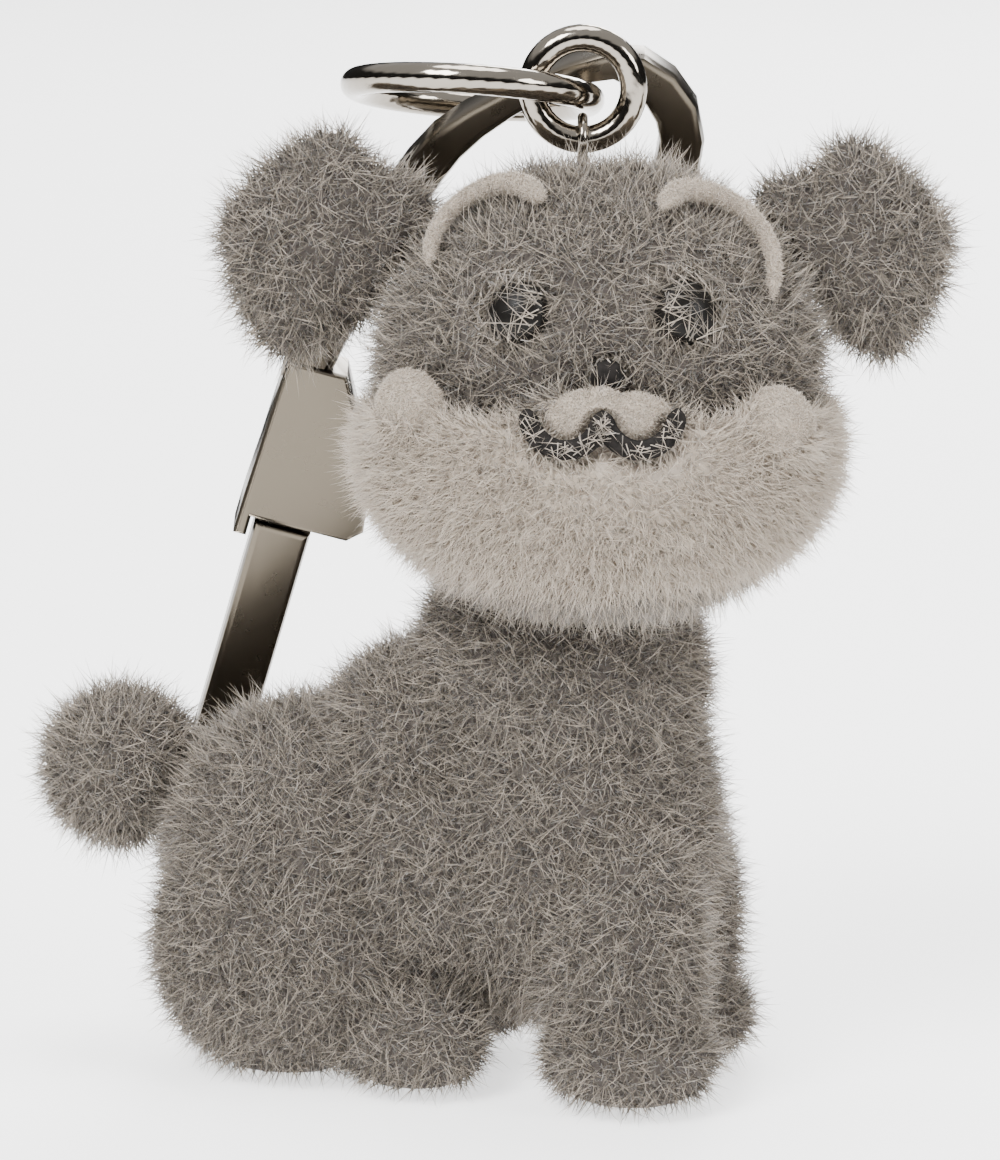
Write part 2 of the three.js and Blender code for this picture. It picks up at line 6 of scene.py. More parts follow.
import bpy
import bmesh
from bpy.props import FloatProperty, FloatVectorProperty, IntProperty, PointerProperty
from mathutils import Matrix, Vector, noise
from mathutils.bvhtree import BVHTree


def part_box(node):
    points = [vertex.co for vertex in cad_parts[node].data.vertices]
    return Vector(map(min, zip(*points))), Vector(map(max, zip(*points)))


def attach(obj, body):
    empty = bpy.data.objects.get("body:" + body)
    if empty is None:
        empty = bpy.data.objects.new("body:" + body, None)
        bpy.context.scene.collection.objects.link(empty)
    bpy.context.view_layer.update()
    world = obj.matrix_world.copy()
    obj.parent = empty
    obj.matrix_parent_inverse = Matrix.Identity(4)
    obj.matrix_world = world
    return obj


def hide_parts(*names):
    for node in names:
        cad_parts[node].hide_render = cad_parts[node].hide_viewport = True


bl_info = {
    "name": "Flocked Dog Keychain",
    "version": (1, 0, 0),
    "blender": (4, 5, 0),
    "location": "View3D > Sidebar > Keychain",
    "description": "Builds the flock, metal and stage of a dog keychain round its frame",
    "category": "Object",
}

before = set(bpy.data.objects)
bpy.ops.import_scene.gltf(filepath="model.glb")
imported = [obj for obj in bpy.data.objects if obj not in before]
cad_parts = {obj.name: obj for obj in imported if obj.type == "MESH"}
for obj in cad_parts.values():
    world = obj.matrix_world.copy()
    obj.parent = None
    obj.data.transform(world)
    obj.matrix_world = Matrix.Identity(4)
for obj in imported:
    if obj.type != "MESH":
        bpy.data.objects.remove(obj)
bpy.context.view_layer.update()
MM = 0.001
FIGURE = "figure"
WELD = 0.002 * MM  # corners of loose triangles this close are one corner
SHELF = 0.02 * MM  # no fibre reaches lower
LOCKS = 330  # how quickly the lean of the long pile wanders, a metre
NAP = 900  # the same for the short pile
GREY_PIT = (0.06, 0.05, 0.045)  # the darkest spots of the ground under the grey pile
UNDER_LENGTH = 0.62  # of the short fibres, as a share of the long ones
GUARD_SEED = 500  # added to a pile's seed for its long fibres
GROWTH = ("grow", "long", "comb")  # what a skin stores for its pile


def middle(node):
    low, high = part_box(node)
    return (Vector(low) + Vector(high)) / 2


SKULL = middle("head")  # the middle of the skull's box
BEARD_LOW, BEARD_HIGH = (Vector(corner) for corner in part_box("beard"))
MOUTH = middle("mouth")
BOWL = 8.9 * MM  # from the beard's bottom up to its middle
BEARD = Vector((SKULL.x, SKULL.y, BEARD_LOW.z + BOWL))


def length(name, value, text):
    return FloatProperty(name=name, description=text, default=value, unit="LENGTH", precision=5)


def colour(name, value, text):
    return FloatVectorProperty(
        name=name, description=text, default=value, size=3, subtype="COLOR", min=0, max=1
    )


class PileSettings(bpy.types.PropertyGroup):
    fibre: length("Fibre length", 2.5 * MM, "Length of the longest fibres of the grey pile")
    white_fibre: length("White fibre length", 2.2 * MM, "Length of the longest fibres of the beard")
    velvet: length("Velvet length", 0.36 * MM, "Length of the short pile on brows and cheeks")
    thickness: length("Fibre thickness", 0.075 * MM, "Width of a fibre at its root")
    inset: length("Skin inset", 0.6 * MM, "Depth of the skin under the middle of the pile")
    density: FloatProperty(name="Density", description="Fibres on a square millimetre", default=33.0)
    guard_share: FloatProperty(name="Guard share", description="Bent fibres among them", default=0.32)
    tilt: FloatProperty(name="Tilt", description="How far the short fibres lean at random", default=1.1)
    guard_tilt: FloatProperty(name="Guard tilt", description="How far the long fibres lean", default=2.1)
    seed: IntProperty(name="Seed", description="Where the fibres stand", default=7)
    pale: colour("Pale fibre", (0.38, 0.325, 0.26), "Lightest grey fibres")
    light: colour("Light fibre", (0.235, 0.2, 0.158), "Light grey fibres")
    middle: colour("Middle fibre", (0.128, 0.108, 0.085), "Middle grey fibres")
    dark: colour("Dark fibre", (0.068, 0.057, 0.046), "Dark grey fibres")
    root: colour("Grey root", (0.07, 0.06, 0.05), "The glued ground under the grey pile")
    white: colour("White fibre", (0.47, 0.402, 0.325), "White fibres")
    cream: colour("Cream fibre", (0.375, 0.315, 0.25), "Cream fibres")
    white_root: colour("White root", (0.34, 0.295, 0.245), "The ground under the white pile")


class HardwareSettings(bpy.types.PropertyGroup):
    nickel: colour("Nickel", (0.27, 0.242, 0.205), "Colour of the polished rings")
    cast: colour("Cast nickel", (0.12, 0.103, 0.08), "Colour of the tumbled clasp")
    edge: length("Edge radius", 0.16 * MM, "Rounding of the clasp's edges")


class StageSettings(bpy.types.PropertyGroup):
    floor: colour("Floor", (0.93, 0.93, 0.93), "Colour of the floor")
    reach: length("Camera distance", 300 * MM, "From the camera to the figure")
    width: length("Width in view", 56 * MM, "Width that the camera takes in at the figure")
    rise: FloatProperty(
        name="Camera rise", description="Above level", default=math.radians(12), subtype="ANGLE"
    )


# ---------------------------------------------------------------- materials


def socket(node, name, value):
    node.inputs[name].default_value = (*value, 1) if isinstance(value, tuple) and len(value) == 3 else value


def material(name, base, roughness, metallic=0.0):
    """A principled material and its nodes, links and shader."""
    made = bpy.data.materials.new(name)
    made.use_nodes = True
    shader = made.node_tree.nodes["Principled BSDF"]
    socket(shader, "Base Color", tuple(base))
    socket(shader, "Roughness", roughness)
    socket(shader, "Metallic", metallic)
    return made, made.node_tree.nodes, made.node_tree.links, shader


def mottled(nodes, links, shader, dark, light, scale, low=0.35, high=0.65, detail=4.0):
    """Noise between two colours on the piece's own coordinates. Returns the noise's value."""
    place = nodes.new("ShaderNodeTexCoord")
    grain = nodes.new("ShaderNodeTexNoise")
    socket(grain, "Scale", scale)
    socket(grain, "Detail", detail)
    ramp = nodes.new("ShaderNodeValToRGB")
    ramp.color_ramp.elements[0].position, ramp.color_ramp.elements[1].position = low, high
    ramp.color_ramp.elements[0].color = (*dark, 1)
    ramp.color_ramp.elements[1].color = (*light, 1)
    links.new(place.outputs["Object"], grain.inputs["Vector"])
    links.new(grain.outputs["Fac"], ramp.inputs["Fac"])
    links.new(ramp.outputs["Color"], shader.inputs["Base Color"])
    return grain.outputs["Fac"]


def bumped(nodes, links, shader, height, strength, distance):
    bump = nodes.new("ShaderNodeBump")
    socket(bump, "Strength", strength)
    socket(bump, "Distance", distance)
    links.new(height, bump.inputs["Height"])
    links.new(bump.outputs["Normal"], shader.inputs["Normal"])


def roughened(nodes, links, shader, value, low, high):
    spread = nodes.new("ShaderNodeMapRange")
    socket(spread, "To Min", low)
    socket(spread, "To Max", high)
    links.new(value, spread.inputs["Value"])
    links.new(spread.outputs["Result"], shader.inputs["Roughness"])


def fibre_material(name, base):
    made, _, _, shader = material(name, base, 0.6)
    socket(shader, "Specular IOR Level", 0.35)
    socket(shader, "Sheen Weight", 0.25)
    socket(shader, "Sheen Roughness", 0.4)
    return made


def ground_material(name, dark, light):
    made, nodes, links, shader = material(name, light, 0.95)
    value = mottled(nodes, links, shader, dark, light, 1400)
    bumped(nodes, links, shader, value, 0.6, 0.2 * MM)
    return made


def metal_material(name, base, low, high, scale, depth):
    """Plated metal, with faint handling marks in its roughness and surface."""
    made, nodes, links, shader = material(name, base, low, metallic=1.0)
    darker = tuple(0.96 * c for c in base)
    value = mottled(nodes, links, shader, darker, tuple(base), scale, 0.3, 0.7)
    roughened(nodes, links, shader, value, low, high)
    bumped(nodes, links, shader, value, 0.15, depth)
    return made


def plastic_material(name, dark, light, low, high, scale, depth):
    made, nodes, links, shader = material(name, light, high)
    socket(shader, "Specular IOR Level", 0.12)
    value = mottled(nodes, links, shader, dark, light, scale)
    roughened(nodes, links, shader, value, low, high)
    bumped(nodes, links, shader, value, 0.3, depth)
    return made


# ---------------------------------------------------------------- meshes


def add_object(name, mesh):
    made = bpy.data.objects.new(name, mesh)
    bpy.context.scene.collection.objects.link(made)
    return made


def merged_copy(node, name):
    """A closed copy of a frame node's mesh, with its loose triangles merged."""
    source = bmesh.new()
    source.from_mesh(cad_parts[node].data)
    bmesh.ops.remove_doubles(source, verts=source.verts, dist=WELD)
    mesh = bpy.data.meshes.new(name)
    source.to_mesh(mesh)
    source.free()
    mesh.materials.clear()
    return add_object(name, mesh)


def settle(made):
    """Applies every modifier of an object."""
    bpy.context.view_layer.update()
    graph = bpy.context.evaluated_depsgraph_get()
    mesh = bpy.data.meshes.new_from_object(made.evaluated_get(graph))
    old = made.data
    made.modifiers.clear()
    made.data = mesh
    mesh.name = made.name
    bpy.data.meshes.remove(old)


def smooth_faces(made):
    for face in made.data.polygons:
        face.use_smooth = True


def skin_of(node, voxel, inset, rounds=6):
    """A smooth ground for the pile, a little under the frame's own surface."""
    made = merged_copy(node, f"{node}_skin")
    remesh = made.modifiers.new("Even out", "REMESH")
    remesh.mode = "VOXEL"
    remesh.voxel_size = voxel
    remesh.use_smooth_shade = True
    soften = made.modifiers.new("Soften", "SMOOTH")
    soften.factor, soften.iterations = 0.5, rounds
    sink = made.modifiers.new("Sink", "DISPLACE")
    sink.strength, sink.mid_level = -inset, 0.0
    settle(made)
    smooth_faces(made)
    return made


TREES = {}
RAY = Vector((0.31, -0.23, 0.92)).normalized()  # any direction that no edge lies along


def inside(tree, point):
    """Counts the faces that a ray from the point goes through: an odd number means inside."""
    start, count = point.copy(), 0
    while count < 20:
        spot, _, _, _ = tree.ray_cast(start, RAY)
        if spot is None:
            break
        start = spot + RAY * (0.001 * MM)
        count += 1
    return count % 2 == 1


def tree_of(node):
    if node not in TREES:
        source = bmesh.new()
        source.from_mesh(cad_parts[node].data)
        bmesh.ops.remove_doubles(source, verts=source.verts, dist=WELD)
        TREES[node] = BVHTree.FromBMesh(source)
        source.free()
    return TREES[node]


def leaning_over(place, normal, nodes, reach, pull):
    """A lean along the skin towards whichever of the nodes is within reach, so fibres cross it."""
    lean = Vector()
    for node in nodes:
        spot, _, _, distance = tree_of(node).find_nearest(place)
        if distance < reach:
            along = spot - place
            along -= normal * along.dot(normal)
            lean += along.normalized() * pull
    return lean


def write_growth(made, reach, neighbours, rule, part=None):
    """Stores on each skin vertex how densely and how long its fibres grow and which way they are
    combed. rule gives (density, length, comb) for a place and its normal. Nothing grows into a
    neighbour."""
    mesh = made.data
    trees = [tree_of(node) for node in neighbours]
    grow, long, comb = [], [], []
    for vertex in mesh.vertices:
        place, normal = vertex.co, vertex.normal
        tip = place + normal * reach
        density, size, lean = rule(place, normal)
        if part and not part(place):
            density = 0.0
        elif any(inside(tree, tip) for tree in trees):
            density = 0.0
        grow.append(density)
        long.append(size)
        comb.extend(lean)
    for name, kind, key, values in (
        ("grow", "FLOAT", "value", grow),
        ("long", "FLOAT", "value", long),
        ("comb", "FLOAT_VECTOR", "vector", comb),
    ):
        stored = mesh.attributes.get(name) or mesh.attributes.new(name, kind, "POINT")
        stored.data.foreach_set(key, values)


# ---------------------------------------------------------------- the pile's node tree


class Tree:
    """A small helper that adds nodes to a geometry node tree and joins them."""

    def __init__(self, name):
        self.group = bpy.data.node_groups.new(name, "GeometryNodeTree")

    def add(self, kind, settings=None, **inputs):
        node = self.group.nodes.new(kind)
        for key, value in (settings or {}).items():
            setattr(node, key, value)
        for key, value in inputs.items():
            self.put(node, key, value)
        return node

    def put(self, node, key, value):
        name = int(key[1:]) if key.startswith("n") and key[1:].isdigit() else key.replace("_", " ")
        entry = node.inputs[name]
        if isinstance(value, bpy.types.NodeSocket):
            self.group.links.new(value, entry)
        else:
            entry.default_value = value

    def math(self, operation, a, b=0.0):
        return self.add("ShaderNodeMath", {"operation": operation}, n0=a, n1=b).outputs[0]

    def vector(self, operation, a, b):
        return self.add("ShaderNodeVectorMath", {"operation": operation}, n0=a, n1=b).outputs[0]

    def read(self, name, kind="FLOAT"):
        return self.add("GeometryNodeInputNamedAttribute", {"data_type": kind}, Name=name).outputs[0]

    def chance(self, low, high, seed, step):
        node = self.add("FunctionNodeRandomValue", {"data_type": "FLOAT"})
        node.inputs[2].default_value, node.inputs[3].default_value = low, high
        self.put(node, "Seed", self.math("ADD", seed, step))
        return node.outputs[1]


PILE_INPUTS = (
    ("Density", "NodeSocketFloat"),
    ("Length", "NodeSocketFloat"),
    ("Thickness", "NodeSocketFloat"),
    ("Tilt", "NodeSocketFloat"),
    ("Bend", "NodeSocketFloat"),
    ("Segments", "NodeSocketInt"),
    ("Seed", "NodeSocketInt"),
)


def pile_tree(name, shades):
    """Fibres scattered over a skin, one cone each, in several shades."""
    tree = Tree(name)
    face = tree.group.interface
    face.new_socket("Geometry", in_out="INPUT", socket_type="NodeSocketGeometry")
    face.new_socket("Geometry", in_out="OUTPUT", socket_type="NodeSocketGeometry")
    for label, kind in PILE_INPUTS:
        face.new_socket(label, in_out="INPUT", socket_type=kind)
    given = tree.add("NodeGroupInput").outputs
    seed = given["Seed"]

    density = tree.math("MULTIPLY", tree.read("grow"), given["Density"])
    scatter = tree.add(
        "GeometryNodeDistributePointsOnFaces",
        {"distribute_method": "RANDOM"},
        Mesh=given["Geometry"],
        Density=density,
        Seed=seed,
    )

    spread = tree.add("FunctionNodeRandomValue", {"data_type": "FLOAT_VECTOR"})
    spread.inputs[0].default_value, spread.inputs[1].default_value = (-1, -1, -1), (1, 1, 1)
    tree.put(spread, "Seed", tree.math("ADD", seed, 11))
    lean = tree.add("ShaderNodeVectorMath", {"operation": "SCALE"}, n0=spread.outputs[0], Scale=given["Tilt"])
    combed = tree.vector("ADD", scatter.outputs["Normal"], tree.read("comb", "FLOAT_VECTOR"))
    toward = tree.vector("ADD", combed, lean.outputs[0])
    upright = tree.add("FunctionNodeAlignRotationToVector", {"axis": "Z"}, Vector=toward)
    roll = tree.add("FunctionNodeAxisAngleToRotation", Axis=(0, 0, 1), Angle=tree.chance(0, 6.283, seed, 23))
    turned = tree.add(
        "FunctionNodeRotateRotation",
        {"rotation_space": "LOCAL"},
        Rotation=upright.outputs[0],
        Rotate_By=roll.outputs[0],
    )

    cone = tree.add("GeometryNodeMeshCone", {"fill_type": "NGON"})
    socket(cone, "Vertices", 3)
    tree.put(cone, "Side Segments", given["Segments"])
    socket(cone, "Depth", 1.0)
    tree.put(cone, "Radius Bottom", tree.math("MULTIPLY", given["Thickness"], 0.5))
    tree.put(cone, "Radius Top", 0.0)
    height = tree.add("ShaderNodeSeparateXYZ", Vector=tree.add("GeometryNodeInputPosition").outputs[0])
    curl = tree.math("MULTIPLY", tree.math("POWER", height.outputs["Z"], 2.0), given["Bend"])
    offset = tree.add("ShaderNodeCombineXYZ", X=curl)
    fibre = tree.add("GeometryNodeSetPosition", Geometry=cone.outputs["Mesh"], Offset=offset.outputs[0])

    long = tree.math("MULTIPLY", tree.read("long"), given["Length"])
    long = tree.math("MULTIPLY", long, tree.chance(0.6, 1.1, seed, 31))
    size = tree.add("ShaderNodeCombineXYZ", X=1.0, Y=1.0, Z=long)
    fibres = tree.add(
        "GeometryNodeInstanceOnPoints",
        Points=scatter.outputs["Points"],
        Instance=fibre.outputs[0],
        Rotation=turned.outputs[0],
        Scale=size.outputs[0],
    )
    store = tree.add("GeometryNodeStoreNamedAttribute", {"data_type": "FLOAT", "domain": "INSTANCE"})
    tree.put(store, "Geometry", fibres.outputs[0])
    store.inputs["Name"].default_value = "shade"
    tree.put(store, "Value", tree.chance(0, 1, seed, 43))
    loose = tree.add("GeometryNodeRealizeInstances", Geometry=store.outputs[0])

    where = tree.add("ShaderNodeSeparateXYZ", Vector=tree.add("GeometryNodeInputPosition").outputs[0])
    lifted = tree.add(
        "ShaderNodeCombineXYZ",
        X=where.outputs["X"],
        Y=where.outputs["Y"],
        Z=tree.math("MAXIMUM", where.outputs["Z"], SHELF),
    )
    raised = tree.add("GeometryNodeSetPosition", Geometry=loose.outputs[0], Position=lifted.outputs[0])
    geometry = tree.add("GeometryNodeSetShadeSmooth", Geometry=raised.outputs[0]).outputs[0]
    for start, shade in shades:
        chosen = tree.math("GREATER_THAN", tree.read("shade"), start)
        geometry = tree.add(
            "GeometryNodeSetMaterial", Geometry=geometry, Selection=chosen, Material=shade
        ).outputs[0]
    tree.add("NodeGroupOutput", Geometry=geometry)
    return tree.group


def pile_on(skin, name, group, values):
    """Grows fibres on a skin with a node tree, as a plain mesh of their own."""
    made = add_object(name, skin.data.copy())
    modifier = made.modifiers.new("Pile", "NODES")
    modifier.node_group = group
    for item in group.interface.items_tree:
        if item.in_out == "INPUT" and item.name in values:
            modifier[item.identifier] = values[item.name]
    settle(made)
    for attribute in (*GROWTH, "shade"):
        if attribute in made.data.attributes:
            made.data.attributes.remove(made.data.attributes[attribute])
    return made


def shaded_tree(context, name, shades):
    """A pile tree whose fibres take each colour from its own start in a draw from 0 to 1."""
    look = context.scene.keychain_pile
    if name in bpy.data.node_groups:
        return bpy.data.node_groups[name]
    finishes = []
    for start, tone in shades:
        label = f"{tone}_fibre"
        made = bpy.data.materials.get(label) or fibre_material(label, getattr(look, tone))
        finishes.append((start, made))
    return pile_tree(name, finishes)


def grey_trees(context):
    under = ((-1.0, "light"), (0.3, "middle"), (0.72, "dark"))
    guard = ((-1.0, "pale"), (0.55, "light"), (0.88, "middle"))
    return shaded_tree(context, "Grey pile", under), shaded_tree(context, "Grey guard pile", guard)


def white_trees(context):
    under = ((-1.0, "white"), (0.55, "cream"), (0.93, "pale"))
    guard = ((-1.0, "white"), (0.7, "cream"))
    return shaded_tree(context, "White pile", under), shaded_tree(context, "White guard pile", guard)


def ground(name, dark, light):
    return bpy.data.materials.get(name) or ground_material(name, tuple(dark), tuple(light))


def grow(context, skin, name, group, seed, fibre=1.0, density=1.0, slot="grey_flock", bend=0.1):
    """The under pile and the bent guard fibres of one skin, joined into one piece."""
    look = context.scene.keychain_pile
    per_area = look.density * density / MM**2
    under = pile_on(skin, name, group[0], {
        "Density": per_area * (1 - look.guard_share), "Length": fibre * UNDER_LENGTH, "Tilt": look.tilt,
        "Thickness": look.thickness, "Bend": 0.0, "Segments": 1, "Seed": look.seed + seed,
    })
    guard = pile_on(skin, f"{name}_guard", group[1], {
        "Density": per_area * look.guard_share, "Length": fibre, "Tilt": look.guard_tilt,
        "Thickness": look.thickness, "Bend": bend * fibre, "Segments": 2,
        "Seed": look.seed + seed + GUARD_SEED,
    })
    join([under, guard])
    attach(under, FIGURE)


def strand(mesh, root, tip, outward, thickness):
    """One straight fibre, a thin three-sided spike."""
    side = (tip - root).cross(outward).normalized() * thickness / 2
    lift = side.cross(tip - root).normalized() * thickness / 2
    feet = [mesh.verts.new(root + offset) for offset in (side, -side, lift)]
    top = mesh.verts.new(tip)
    mesh.faces.new(feet)
    for a, b in ((0, 1), (1, 2), (2, 0)):
        mesh.faces.new((feet[b], feet[a], top))


def finish_strands(mesh, name, tones):
    bmesh.ops.recalc_face_normals(mesh, faces=mesh.faces)
    data = bpy.data.meshes.new(name)
    mesh.to_mesh(data)
    mesh.free()
    made = add_object(name, data)
    for tone in tones:
        data.materials.append(bpy.data.materials[f"{tone}_fibre"])
    for number, face in enumerate(data.polygons):
        face.material_index = (number // 4) % len(tones)
        face.use_smooth = True
    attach(made, FIGURE)


def lashes(context, node, tones, seed, count):
    """Fibres rooted round a dark bead that lie across its face."""
    look = context.scene.keychain_pile
    draw = random.Random(seed)
    places = [vertex.co.copy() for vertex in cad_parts[node].data.vertices]
    far = max(places, key=lambda place: (place - SKULL).length)
    outward = (far - SKULL).normalized()
    face = [place for place in places if (far - place).dot(outward) < 1.1 * MM]
    centre = sum(face, Vector()) / len(face)
    radius = max(((place - centre) - outward * (place - centre).dot(outward)).length for place in face)
    centre += outward * ((far - centre).dot(outward) - 0.55 * MM)
    across = outward.cross(Vector((0, 0, 1))).normalized()
    along = across.cross(outward)
    mesh = bmesh.new()
    for _ in range(count):
        turn = draw.uniform(0, 2 * math.pi)
        away = across * math.cos(turn) + along * math.sin(turn)
        root = centre + away * radius * draw.uniform(0.95, 1.25) - outward * draw.uniform(0.1, 0.5) * MM
        aim = draw.gauss(0, 0.75)
        inward = -away * math.cos(aim) + outward.cross(away) * math.sin(aim)
        reach = radius * draw.uniform(0.7, 1.7)
        tip = root + (inward + outward * draw.uniform(0.3, 0.7)).normalized() * reach
        strand(mesh, root, tip, outward, look.thickness)
    finish_strands(mesh, f"{node}_lashes", tones)


def whiskers(context, node, tones, seed, count):
    """Fibres of the pile round a groove that lie across the dark line in it."""
    look = context.scene.keychain_pile
    draw = random.Random(seed)
    faces = [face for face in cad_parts[node].data.polygons if face.normal.y < -0.6]
    mesh = bmesh.new()
    for _ in range(count):
        face = draw.choice(faces)
        turn = draw.uniform(0, 2 * math.pi)
        across = Vector((math.cos(turn), 0, math.sin(turn)))
        reach = look.white_fibre * draw.uniform(0.35, 0.65)
        spot = face.center + face.normal * draw.uniform(-0.1, 0.05) * MM
        root = spot - across * reach * 0.5 - face.normal * 0.15 * MM
        tip = spot + across * reach * 0.5 + face.normal * 0.1 * MM
        strand(mesh, root, tip, face.normal, look.thickness * 0.8)
    finish_strands(mesh, f"{node}_whiskers", tones)


def join(objects):
    with bpy.context.temp_override(active_object=objects[0], selected_editable_objects=objects):
        bpy.ops.object.join()


def finish_skin(skin, node, look):
    for name in GROWTH:
        skin.data.attributes.remove(skin.data.attributes[name])
    skin.data.materials.clear()
    skin.data.materials.append(look)
    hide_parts(node)
    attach(skin, FIGURE)


def near(place, target, reach):
    """1 at the target, fading to 0 at reach."""
    return max(0.0, 1.0 - (place - target).length / reach)


def drift(place, scale, seed=0.0):
    """A smooth random vector that wanders over the surface, so that locks lean together."""
    return noise.noise_vector(place * scale + Vector((seed, 0, 0)))


# ---------------------------------------------------------------- operators


class KeychainOperator(bpy.types.Operator):
    bl_options = {"REGISTER", "UNDO"}


class KEYCHAIN_OT_body(KeychainOperator):
    """Flocks the body, in four piles from the chest to the rump"""

    bl_idname = "keychain.body"
    bl_label = "Body Flock"

    def execute(self, context):
        look = context.scene.keychain_pile
        low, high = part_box("body")
        width = (Vector(high) - Vector(low)).x

        def rule(place, normal):
            sole = place.z < 0.9 * MM and normal.z < -0.5
            under = max(0.0, -normal.z) * 0.3
            paws = max(0.0, 1 - place.z / (6 * MM))
            lean = drift(place, LOCKS) * 0.45 + Vector((0, 0, -0.18))
            return (0.0 if sole else 1.0 - under, 0.98 - 0.28 * paws, lean)

        def section(start, end):
            def held(place):
                along = place.x - 0.27 * place.y  # square to the body's own length
                return low[0] + start * width <= along < low[0] + end * width
            return held

        skin = skin_of("body", 0.42 * MM, look.inset)
        neighbours = ("head", "beard", "neck_peg", "tail")
        sections = (("rump", -1, 0.27), ("flank", 0.27, 0.56), ("shoulder", 0.56, 0.78), ("chest", 0.78, 2))
        for number, (name, start, end) in enumerate(sections):
            write_growth(skin, 0.7 * MM, neighbours, rule, section(start, end))
            grow(context, skin, f"{name}_pile", grey_trees(context), 10 * number, look.fibre)
        finish_skin(skin, "body", ground("grey_ground", GREY_PIT, look.root))
        return {"FINISHED"}


class KEYCHAIN_OT_head(KeychainOperator):
    """Flocks the skull in two piles, shorter round the nose and leaning over the eyes"""

    bl_idname = "keychain.head"
    bl_label = "Head Flock"

    def execute(self, context):
        look = context.scene.keychain_pile
        crown = middle("small_ring") - Vector((0, 0, 3.4 * MM))
        muzzle = Vector((MOUTH.x, MOUTH.y, MOUTH.z + 4 * MM))
        nose = middle("nose")

        def rule(place, normal):
            ring = near(place, crown, 2.4 * MM) + near(place, nose, 2.0 * MM)
            lean = drift(place, LOCKS, 3.0) * 0.45
            lean += leaning_over(place, normal, ("eye_right", "eye_left"), 1.5 * MM, 1.7)
            lean += Vector((0, 0, 0.9 * near(place, muzzle, 5 * MM)))
            return (1.0, 1.0 - 0.55 * ring, lean)

        skin = skin_of("head", 0.34 * MM, look.inset)
        neighbours = ("beard", "brow_right", "brow_left", "ear_right", "ear_left", "body", "screw_eye")
        neighbours += ("eye_right", "eye_left", "nose")
        for number, name in enumerate(("face_pile", "crown_pile")):
            write_growth(skin, 0.5 * MM, neighbours, rule, lambda place: (place.y > SKULL.y) == bool(number))
            grow(context, skin, name, grey_trees(context), 60 + 10 * number, look.fibre, 0.95)
        finish_skin(skin, "head", ground("grey_ground", GREY_PIT, look.root))
        return {"FINISHED"}


class KEYCHAIN_OT_beard(KeychainOperator):
    """Flocks the white beard, with short velvet on its moustache and cheek puffs"""

    bl_idname = "keychain.beard"
    bl_label = "Beard Flock"

    def execute(self, context):
        look = context.scene.keychain_pile
        cheeks = (
            Vector((BEARD_LOW.x + 2.4 * MM, SKULL.y - 6.2 * MM, BEARD.z + 3.7 * MM)),
            Vector((BEARD_HIGH.x - 2.6 * MM, SKULL.y - 8.3 * MM, BEARD.z + 2.8 * MM)),
        )
        lip_centre = MOUTH + Vector((0.3 * MM, 0, 1.0 * MM))
        nose = middle("nose")

        def on_cheek(place, cheek):
            return (place - cheek).length < 2.8 * MM and place.z > cheek.z - 0.9 * MM

        def is_velvet(place):
            off = place - lip_centre
            lip = off.y < 3 * MM and math.hypot(off.x / (3.2 * MM), off.z / (1.3 * MM)) < 1
            return lip or any(on_cheek(place, cheek) for cheek in cheeks)

        def white_share(place):
            """1 on the beard, falling to 0 under the chin, where the grey fibres are painted shade, and
            beside the nose, where the snout is grey.
            """
            wander = drift(place, NAP, 14.0).x * 0.5 * MM
            # the grey fibres under the chin are painted shade: they darken the beard's underside where shade
            # falls
            chin = (place.z + wander - BEARD.z + 7.0 * MM) / (1.2 * MM)
            off = abs(place.x - MOUTH.x)
            brim = BEARD.z + 3.7 * MM
            bridge = (brim - place.z - wander) / (0.5 * MM) if off < 6.5 * MM and place.y < SKULL.y else 1.0
            return min(max(min(chin, bridge), 0.0), 1.0)

        def comb(place, normal):
            out = Vector((place.x - BEARD.x, 0, place.z - BEARD.z - 5 * MM))
            lean = out.normalized() * 0.6 + drift(place, LOCKS, 9.0) * 0.4
            return lean + leaning_over(place, normal, ("mouth",), 1.1 * MM, 1.5)

        def white_rule(place, normal):
            mouth = near(place, MOUTH, 5.5 * MM)
            return (white_share(place), 1.0 - 0.35 * mouth, comb(place, normal))

        def right_rule(place, normal):
            density, size, lean = white_rule(place, normal)
            return (density if place.x < MOUTH.x else 0.0, size, lean)

        def left_rule(place, normal):
            density, size, lean = white_rule(place, normal)
            return (density if place.x >= MOUTH.x else 0.0, size, lean)

        def grey_rule(place, normal):
            return (1.0 - white_share(place), 1.0 - 0.7 * near(place, nose, 3.2 * MM), comb(place, normal))

        def velvet_rule(place, normal):
            return (1.0, 1.0, drift(place, NAP, 5.0) * 0.25)

        skin = skin_of("beard", 0.3 * MM, 0.6 * look.inset, 4)
        neighbours = ("head", "mouth", "nose", "body", "neck_peg")
        piles = (
            ("beard_right_pile", white_trees, 90, look.white_fibre, 1.1, "white_flock", right_rule),
            ("beard_left_pile", white_trees, 97, look.white_fibre, 1.1, "white_flock", left_rule),
            # grey fibres under the chin are painted shade; beside the nose they are the snout's own grey
            ("chin_pile", grey_trees, 105, look.fibre, 1.0, "grey_flock", grey_rule),
            ("muzzle_velvet", white_trees, 120, look.velvet, 4.5, "white_flock", velvet_rule),
        )
        for name, trees, seed, fibre, density, slot, rule in piles:
            short = rule is velvet_rule
            reach, bend = (0.25 * MM, 0.05) if short else (0.5 * MM, 0.1)
            write_growth(skin, reach, neighbours, rule, lambda place: is_velvet(place) == short)
            grow(context, skin, name, trees(context), seed, fibre, density, slot, bend)
        finish_skin(skin, "beard", ground("white_ground", look.white_root, look.cream))
        return {"FINISHED"}


